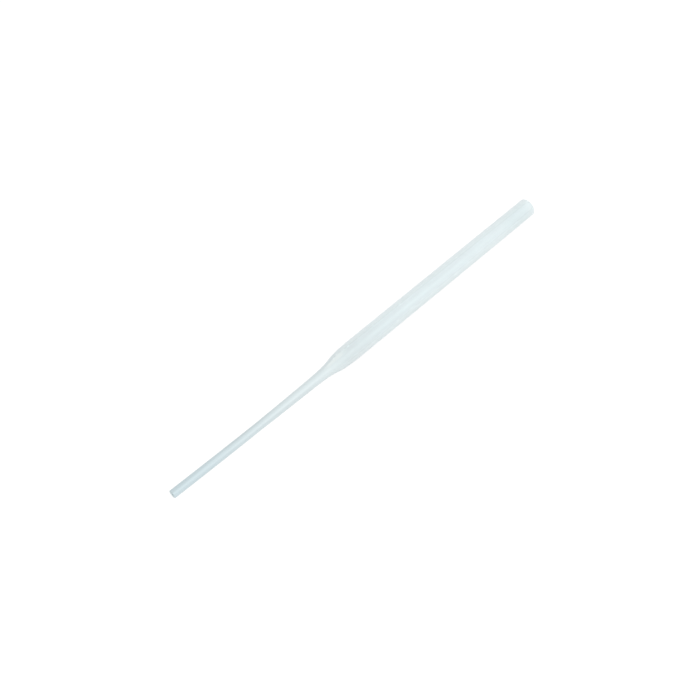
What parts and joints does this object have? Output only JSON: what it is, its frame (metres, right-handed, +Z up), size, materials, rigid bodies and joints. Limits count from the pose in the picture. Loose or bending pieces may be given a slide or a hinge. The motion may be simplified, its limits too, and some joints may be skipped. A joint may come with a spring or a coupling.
{
  "type": "plastic dropper pipette",
  "caption": "Slim translucent plastic dropper tube, open at both ends: a straight barrel to take a rubber teat, an S-shaped shoulder and a long narrow stem.",
  "frame": {"origin": "on the surface that the pipette lies on, under the middle of its length", "axes": "+X along the barrel from the tip to the mouth, +Z up, and the stem bows slightly towards +Y"},
  "size_m": [0.15, 0.006, 0.0061],
  "materials": {
    "translucent_plastic": "translucent, very pale blue-grey, satin to gloss, with faint drawing lines along the tube"
  },
  "bodies": {
    "root": {"pipette": "translucent_plastic"}
  },
  "joints": []
}
